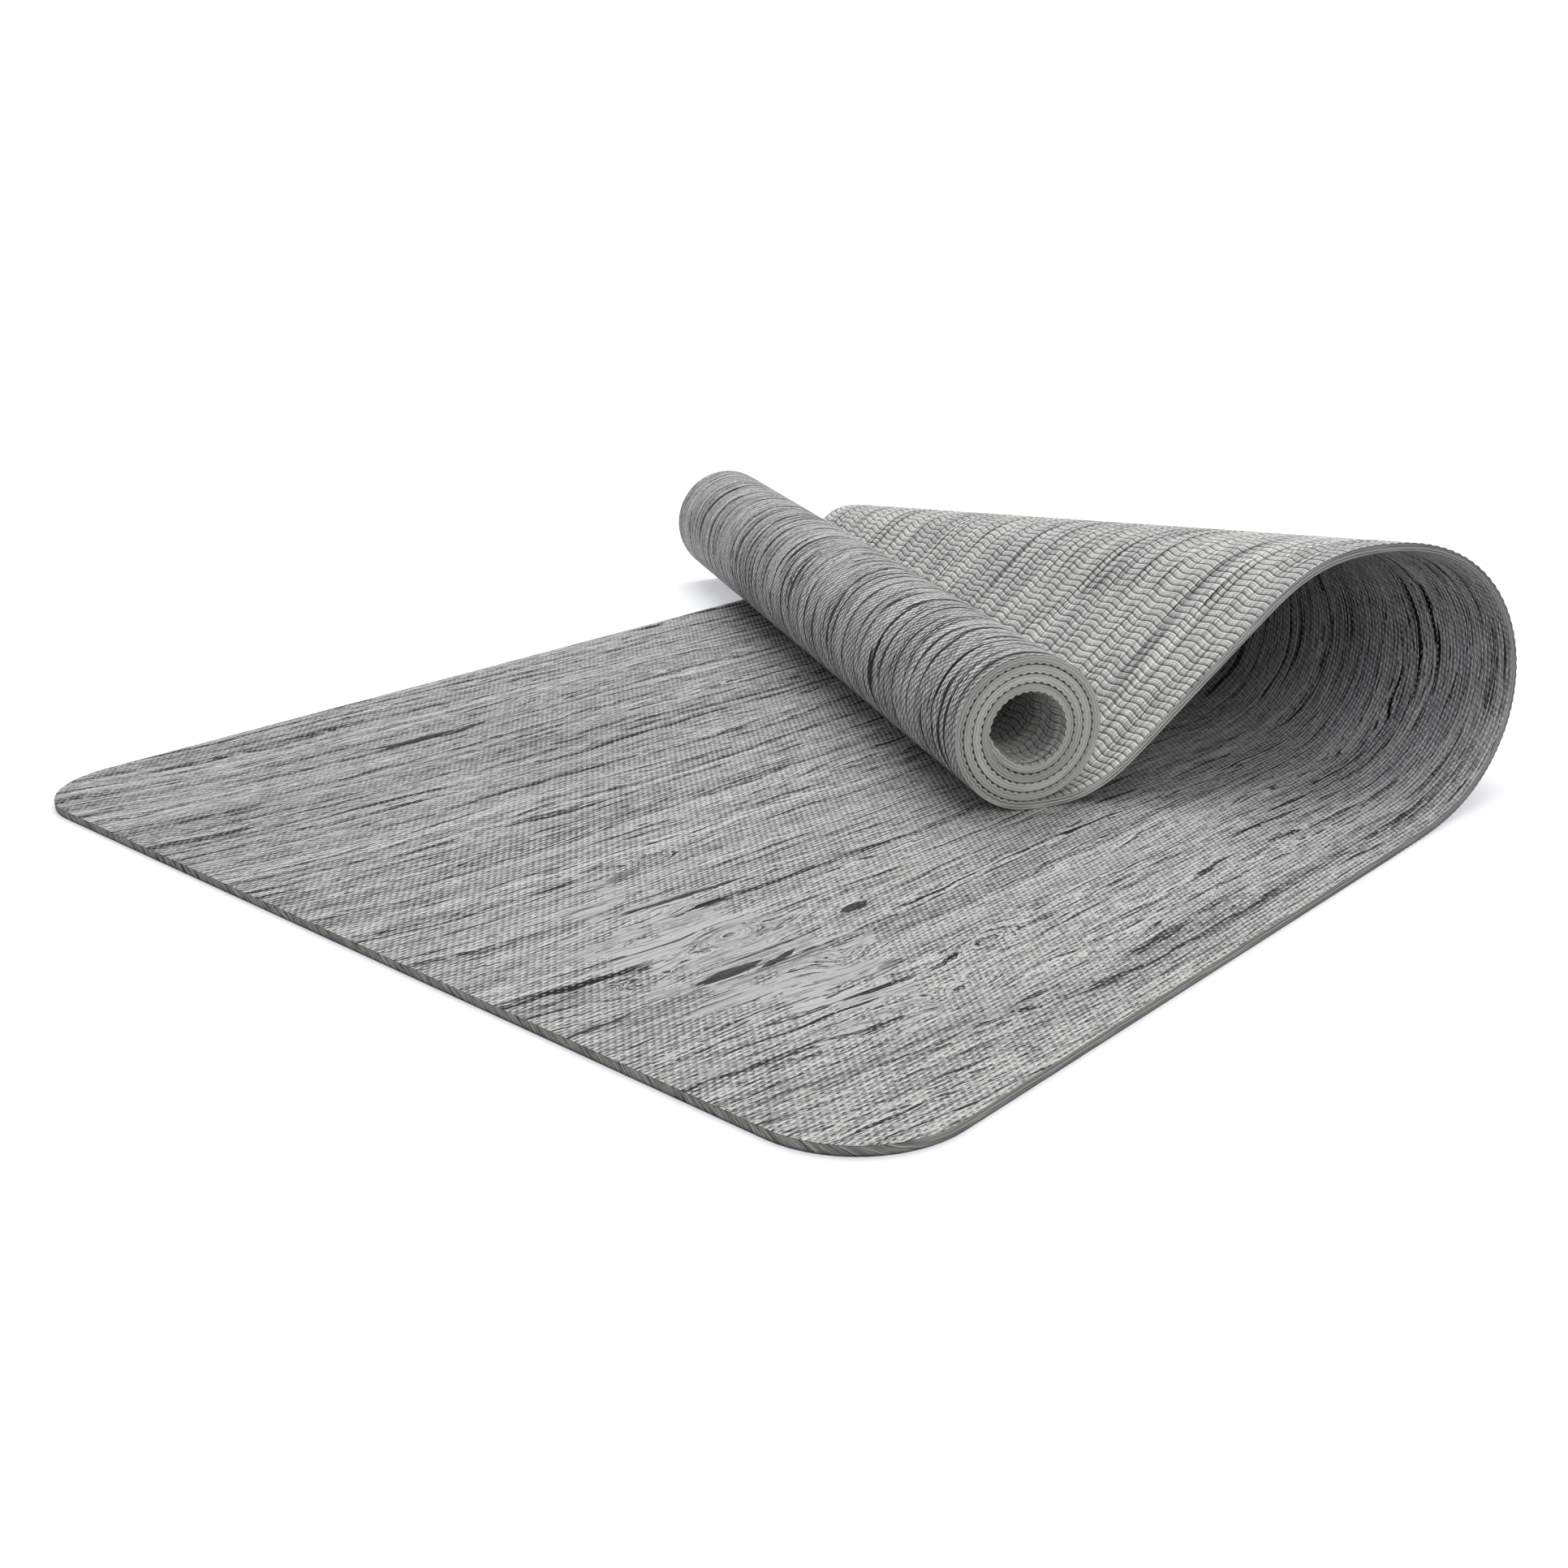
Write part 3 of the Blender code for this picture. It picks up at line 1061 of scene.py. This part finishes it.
@dataclass(frozen=True)
class UnderFace:
    """The under face: lighter and warmer, with wavy ribs. The thin grooves between them are painted dark as
    shade, and each rib gets painted highlights and shade along it.
    """

    marbling: Marbling
    ribs: RibRelief
    # crest is the colour of the light streaks and of the painted highlights along the ribs
    crest: Colour = grey(255, 255, 253)
    light: Colour = grey(250, 250, 244)
    mid: Colour = grey(222, 222, 222)
    dusk: Colour = grey(104, 104, 114)
    dark: Colour = grey(16, 16, 20)
    bump: float = 0.0004

    def build(self) -> bpy.types.Material:
        """The finished material."""
        nodes = Nodes(bpy.data.materials.new("under_face"))
        place = sheet_place(nodes)
        grain, ribs = self.marbling.build(place), self.ribs
        wave = ((place.across - ribs.wave_start * MM) * (math.tau / (ribs.wave_period * MM))).math("SINE")
        share = ((place.along + wave * (ribs.wave_reach * MM)) / (ribs.pitch * MM)).fraction()
        groove = share.math("MINIMUM", 1 - share)
        patchy = place.noise(9, 3, 2.0, 2.0)
        scratch = place.noise(5, 0.55, 4.0, 2.0)
        wound = place.along.step(700.0, 1000.0)
        dark = (grain.line * 0.85).at_least(grain.vein)
        colour = nodes.layered(self.light, (
            (grain.band.step(0.40, 0.62), self.mid),
            (grain.tone.fall(0.38, 0.5) * (0.5 - wound * 0.2), self.dusk),
            # painted shade: a soft darkening beside each groove
            (groove.fall(0.04, 0.30) * 0.1, self.dusk),
            (scratch.fall(0.34, 0.5) * 0.3, self.dusk),
            (scratch.step(0.54, 0.64) * 0.6, self.crest),
            # painted highlights and shade along each rib: a bright line beside the groove, a shaded line
            # before the rib's small step and a bright line on it
            (self.stripe(share, 0.24, 0.10), self.crest),
            (self.stripe(share, 0.40, 0.07) * patchy.step(0.25, 0.5) * 0.7, self.dusk),
            (self.stripe(share, 0.53, 0.09) * patchy.step(0.3, 0.5) * 0.9, self.crest),
            (dark * (1 - wound * 0.5), self.dark),
            # painted shade: a thin dark line in each groove
            (groove.fall(0.03, 0.085) * (0.75 - wound * 0.35), self.dark),
        ))
        height = groove.step(0.0, 0.16) * (share.step(0.40, 0.50) * 0.3 + 0.7)
        return nodes.finish(colour, 0.72, height, self.bump, 0.25)

    def stripe(self, share: Value, centre: float, reach: float) -> Value:
        """A soft stripe along each rib, as wide as twice its reach, in shares of the pitch, for the painted
        highlights and shade of the rib.
        """
        return abs(share - centre).fall(0.0, reach)


@dataclass(frozen=True)
class CutEdge:
    """The cut edge: hatched by the marbling at the front end, and laminated along the other sides, with
    painted shade along its rims and on its lower part before the roll.
    """

    marbling: Marbling
    light: Colour = grey(212, 212, 207)
    mid: Colour = grey(184, 184, 181)
    dusk: Colour = grey(98, 98, 94)
    dark: Colour = grey(26, 26, 28)
    bump: float = 0.0001
    slant: float = -1.2
    layers: tuple[float, ...] = (-0.7, 1.0)

    def build(self) -> bpy.types.Material:
        """The finished material."""
        nodes = Nodes(bpy.data.materials.new("cut_edge"))
        place = sheet_place(nodes)
        slanted = Place(place.along, place.across + place.depth * self.slant, place.depth * 0.5)
        grain = self.marbling.build(slanted)
        front = place.along.fall(12.0, 50.0)
        lying = place.along.fall(600.0, 800.0)
        low = place.depth.fall(-1.9, -0.7)
        dark = (grain.line * 0.9).at_least(grain.vein)
        colour = nodes.layered(self.light, (
            (grain.band.step(0.38, 0.66), self.mid),
            # painted shade: the edge is darker before the roll than on the roll's ends, less so at the
            # front end
            (lying * (0.55 - front * 0.25), self.dusk),
            (grain.tone.step(0.44, 0.54) * front * 0.5, self.dusk),
            (self.lamination(place) * (1 - front), self.dusk),
            # painted shade: dark lines along the upper and lower rims of the edge, which on the roll's ends
            # are the gaps between its layers
            (abs(place.depth).step(1.75, 2.2) * 0.8, self.dark),
            # painted shadow: before the roll, the lower part of the edge is darker, as near the floor
            (low * lying * 0.6, self.dark),
            (dark * front, self.dark),
        ))
        return nodes.finish(colour, 0.7, grain.band, self.bump, 0.25)

    def lamination(self, place: Place) -> Value:
        """How dark the thin lines between the layers of the sheet are.

        Args:
            place: The point of the sheet.

        Returns:
            0 off the lines and nearly 1 on them.
        """
        sway = place.noise(40, 40, 1.0, 2.0) - 0.5
        faint = place.noise(25, 25, place.depth / 0.8)
        lines: Number = 0.0
        for layer in self.layers:
            line = abs(place.depth - layer + sway * 1.4).fall(0.15, 0.5)
            lines = (line * faint.step(0.3, 0.5)).at_least(lines)
        return lines * (0.95 - place.along.step(900.0, 1100.0) * 0.5)


class Finishes:
    """The three materials of the sheet, which every piece shares."""

    def __init__(self) -> None:
        knots = (
            Knot(132, -241, 17, 7, 9),
            Knot(180, -218, 16, 6, -7),
            Knot(112, -128, 14, 7, -8),
            Knot(52, -138, 15, 6, 6),
            Knot(125, -187, 20, 9, 8),
            Knot(150, -42, 13, 6, 6),
        )
        self.sides = (
            UpperFace(Marbling(knots)).build(),
            UnderFace(Marbling(seed=40.0, line_width=1.3, streak_length=42.0), RibRelief()).build(),
            CutEdge(Marbling(seed=80.0, line_width=1.1)).build(),
        )


@dataclass
class Bed:
    """The flat front half of the mat."""

    mat: Mat
    finishes: Finishes
    step: float = 0.008

    def build(self) -> bpy.types.Object:
        """Makes the bed and sets it on its body.

        Returns:
            The piece.
        """
        sizes, last = self.mat.sizes, self.mat.bends.bed_end
        ends = self.mat.bends.stations(last)
        quarter = np.linspace(0, math.pi / 2, sizes.corner_steps + 1)
        corner = sizes.corner_radius * (1 - np.cos(quarter))
        end = ends[1] + self.step
        stations = np.concatenate([corner, np.arange(corner[-1] + self.step, end + self.step, self.step)])
        acrosses = sizes.lines_across(self.step)
        piece = SheetPiece(self.mat, "mat_bed", stations, acrosses, last_share=last)
        bed = piece.build(self.finishes.sides)
        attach(bed, "bed")
        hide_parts("bed")
        sizes.width * sum(ends) / 2
        return bed


class Span(NamedTuple):
    """The bend lines of a piece: its hinge, its start and its end, which is None at the roll."""

    seam: float
    first: float
    last: float | None


@dataclass
class Bends:
    """The fold and its landing: one piece over each hinge."""

    mat: Mat
    finishes: Finishes
    blend_share: float = 0.92
    roll_line: float = 1.004
    probe: float = 0.0005

    def build(self) -> list[bpy.types.Object]:
        """Makes the pieces.

        Returns:
            The pieces, in the order of the hinges.
        """
        seams = self.mat.fold.seam_shares
        middles = (seams[1:] + seams[:-1]) / 2
        edges = [self.mat.bends.bed_end, *middles, None]
        bodies = ["bed", *(f"bend_strip_{number:02d}" for number in range(1, len(seams))), "roll"]
        pieces = []
        for index, seam in enumerate(seams):
            span = Span(seam, *edges[index : index + 2])
            pieces.append(self.piece(index + 1, span, bodies[index : index + 2]))
        return pieces

    def piece(self, number: int, span: Span, bodies: Sequence[str]) -> bpy.types.Object:
        """Makes the piece over one hinge.

        Args:
            number: The number of the hinge.
            span: The piece's stretch of the bend.
            bodies: The bodies on its two sides.

        Returns:
            The piece.
        """
        first, last = span.first, span.last
        sizes, bends = self.mat.sizes, self.mat.bends
        low = min(bends.stations(first))
        high = bends.roll_start if last is None else max(bends.stations(last))
        step = sizes.step_along
        stations = np.arange(math.floor(low / step), math.ceil(high / step) + 1) * step
        if last is None:
            stations = np.append(stations[stations < bends.roll_start - step / 3], bends.roll_start)
        acrosses = sizes.lines_across(sizes.step_across)
        piece = SheetPiece(self.mat, f"mat_bend_{number:02d}", stations, acrosses, first, last)
        bent = piece.build(self.finishes.sides)
        start, end = self.blend_ends(span)
        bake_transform(bent)
        if number < len(self.mat.fold.seam_shares):
            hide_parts(bodies[1])
        near_start, far_start = bends.stations(first)
        near_end, far_end = (bends.roll_start,) * 2 if last is None else bends.stations(last)
        gaps = (near_end - near_start, far_end - far_start)
        slanted = math.hypot(sizes.width, far_start - near_start)
        flat = (max(gaps) * sizes.width / slanted, slanted)
        sizes.width * sum(gaps) / 2
        return bent

    def blend_ends(self, span: Span) -> tuple[Vector, Vector]:
        """Where the turn over a hinge starts and ends.

        Args:
            span: The piece's stretch of the bend.

        Returns:
            The two points, in the frame.
        """
        near, far = self.mat.line_points(span.seam)
        middle = (near + far) / 2
        along = (far - near) / np.linalg.norm(far - near)
        ends = self.mat.fold.line(span.seam)
        slope = (ends[1] - ends[0]) / np.linalg.norm(ends[1] - ends[0])
        square = np.array([slope[1], -slope[0]])
        reaches = []
        for share in (span.first, self.roll_line if span.last is None else span.last):
            other = self.mat.fold.line(share)
            reaches += [abs((other[end] - ends[end])[:2] @ square) for end in (0, 1)]
        reach = self.blend_share * min(reaches)
        probes = (ends[0] + ends[1])[:2] / 2 + np.outer((self.probe, -self.probe), square)
        points = self.mat.placed(probes[:, 0], probes[:, 1], np.zeros(2))
        forward = points[0] - points[1]
        forward -= along * (forward @ along)
        forward /= np.linalg.norm(forward)
        return Vector(middle - forward * reach), Vector(middle + forward * reach)


@dataclass
class Roll:
    """The rolled up end of the mat, in two pieces."""

    mat: Mat
    finishes: Finishes
    core_length: float = 0.140
    fine_reach: float = 0.030
    fine_step: float = 0.003
    coarse_step: float = 0.027
    core_reach: float = 0.110
    core_step: float = 0.002
    corner_steps: int = 40

    def build(self) -> list[bpy.types.Object]:
        """Makes the roll's pieces and sets them on its body.

        Returns:
            The two pieces, outer one first.
        """
        sizes, bends = self.mat.sizes, self.mat.bends
        step = sizes.step_along
        split = math.floor((sizes.length - self.core_length) / step) * step
        first = math.ceil((bends.roll_start + step / 3) / step)
        wrap = np.append(bends.roll_start, np.arange(first, round(split / step) + 1) * step)
        quarter = np.linspace(0, math.pi / 2, self.corner_steps)
        corner = sizes.length - sizes.corner_radius * (1 - np.cos(quarter))[::-1]
        straight = np.arange(round(split / step), math.ceil(corner[0] / step)) * step
        core = np.concatenate([straight[straight < corner[0] - step / 3], corner])
        pieces = []
        for name, stations, reach, fine in (
            ("mat_roll_wrap", wrap, self.fine_reach, self.fine_step),
            ("mat_roll_core", core, self.core_reach, self.core_step),
        ):
            piece = SheetPiece(self.mat, name, stations, self.acrosses(reach, fine))
            roll = piece.build(self.finishes.sides)
            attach(roll, "roll")
            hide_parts("roll")
            pieces.append(roll)
        return pieces

    def acrosses(self, reach: float, fine: float) -> np.ndarray:
        """Where the long lines lie across the roll: close near its two ends, wider in its middle.

        Args:
            reach: How far in from each end they lie close.
            fine: The step between them there.

        Returns:
            Their distances from the centre line.
        """
        half = self.mat.sizes.half_width
        end = np.arange(half, half - reach, -fine)
        inner = end[-1] - fine
        middle = np.linspace(-inner, inner, round(2 * (half - reach) / self.coarse_step) + 1)
        return np.concatenate([-end, middle, end[::-1]])


@dataclass(frozen=True)
class Lamp:
    """A soft square lamp: where it hangs, the point that it faces, its side and its power."""

    name: str
    place: tuple[float, float, float]
    aim: tuple[float, float, float]
    size: float
    power: float

    def build(self) -> None:
        """Hangs the lamp in the scene."""
        data = bpy.data.lights.new(self.name, "AREA")
        data.size = self.size
        data.energy = self.power
        lamp = bpy.data.objects.new(self.name, data)
        lamp.location = self.place
        lamp.rotation_euler = (Vector(self.aim) - Vector(self.place)).to_track_quat("-Z", "Y").to_euler()
        bpy.context.scene.collection.objects.link(lamp)


@dataclass(frozen=True)
class Studio:
    """A plain white studio: floor, soft lights and the camera at the photograph's angle."""

    camera_place: tuple[float, float, float] = (-0.2545, -0.9665, 0.3257)
    yaw: float = math.radians(74.04)
    pitch: float = math.radians(19.16)
    roll: float = math.radians(-1.16)
    focal: float = 41.4
    sensor: float = 36.0
    clip_start: float = 0.01
    ambient: float = 0.34
    floor_reach: float = 6.0
    floor_drop: float = 0.0003
    floor_glow: float = 0.42
    white_from: float = 0.75
    white_to: float = 1.5
    lamps: tuple[Lamp, ...] = (
        Lamp("key_light", (0.45, 1.0, 2.1), (0.0, 0.1, 0.0), 2.4, 46),
        Lamp("fill_light", (0.4, -2.0, 1.5), (0.0, 0.0, 0.0), 2.2, 15),
    )

    def build(self) -> None:
        """Sets the studio up."""
        scene = bpy.context.scene
        scene.view_settings.view_transform = "Standard"
        scene.world = self.world()
        self.floor()
        scene.camera = self.camera()
        scene.collection.objects.link(scene.camera)
        for lamp in self.lamps:
            lamp.build()

    def world(self) -> bpy.types.World:
        """A surround that lights the mat softly from all sides and that the camera sees as white."""
        nodes = Nodes(bpy.data.worlds.new("studio"))
        seen = Value(nodes, nodes.add("ShaderNodeLightPath", {}, {}, "Is Camera Ray"))
        strength = seen * (1 - self.ambient) + self.ambient
        light = nodes.add("ShaderNodeBackground", {}, {"Color": (1, 1, 1, 1), "Strength": strength})
        nodes.add("ShaderNodeOutputWorld", {}, {"Surface": light})
        return nodes.owner

    def floor(self) -> None:
        """A white floor that keeps the mat's shadow."""
        plane = bmesh.new()
        bmesh.ops.create_grid(plane, x_segments=1, y_segments=1, size=self.floor_reach)
        mesh = bpy.data.meshes.new("floor")
        plane.to_mesh(mesh)
        plane.free()
        mesh.materials.append(self.floor_material())
        floor = bpy.data.objects.new("floor", mesh)
        floor.location.z = -self.floor_drop
        bpy.context.scene.collection.objects.link(floor)

    def floor_material(self) -> bpy.types.Material:
        """White paper that keeps the shadow near the mat and fades into a white surround."""
        nodes = Nodes(bpy.data.materials.new("floor_paper"))
        seen = Value(nodes, nodes.add("ShaderNodeLightPath", {}, {}, "Is Camera Ray"))
        place = nodes.add("ShaderNodeTexCoord", {}, {}, "Object")
        away = Value(nodes, nodes.add("ShaderNodeVectorMath", {"operation": "LENGTH"}, {0: place}, "Value"))
        paper = nodes.add("ShaderNodeBsdfDiffuse", {}, {"Color": (0.86, 0.86, 0.87, 1)})
        shine = {"Color": (0.93, 0.94, 1, 1), "Strength": seen * self.floor_glow}
        glow = nodes.add("ShaderNodeEmission", {}, shine)
        lit = nodes.add("ShaderNodeAddShader", {}, {0: paper, 1: glow})
        white = nodes.add("ShaderNodeEmission", {}, {"Strength": 1.0})
        far = away.step(self.white_from, self.white_to) * seen
        surface = nodes.add("ShaderNodeMixShader", {}, {0: far, 1: lit, 2: white})
        nodes.add("ShaderNodeOutputMaterial", {}, {"Surface": surface})
        return nodes.owner

    def camera(self) -> bpy.types.Object:
        """The camera, at the photograph's place and angle."""
        data = bpy.data.cameras.new("camera")
        data.lens = self.focal
        data.sensor_width = self.sensor
        data.sensor_height = self.sensor
        data.clip_start = self.clip_start
        camera = bpy.data.objects.new("camera", data)
        right_angle = math.pi / 2
        turns = ((self.yaw - right_angle, "Z"), (right_angle - self.pitch, "X"), (self.roll, "Z"))
        matrix = Matrix.Translation(self.camera_place)
        for angle, axis in turns:
            matrix = matrix @ Matrix.Rotation(angle, 4, axis)
        camera.matrix_world = matrix
        return camera


def main() -> None:
    """Builds the mat and its studio."""
    logging.basicConfig(level=logging.INFO, format="%(message)s")
    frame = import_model()
    mat = Mat(frame["record"])
    finishes = Finishes()
    bed, bends, roll = Bed(mat, finishes), Bends(mat, finishes), Roll(mat, finishes)
    for piece in (bed.build(), *bends.build(), *roll.build()):
        LOG.info("%s: %d faces", piece.name, len(piece.data.polygons))
    Studio().build()


if __name__ == "__main__":
    main()
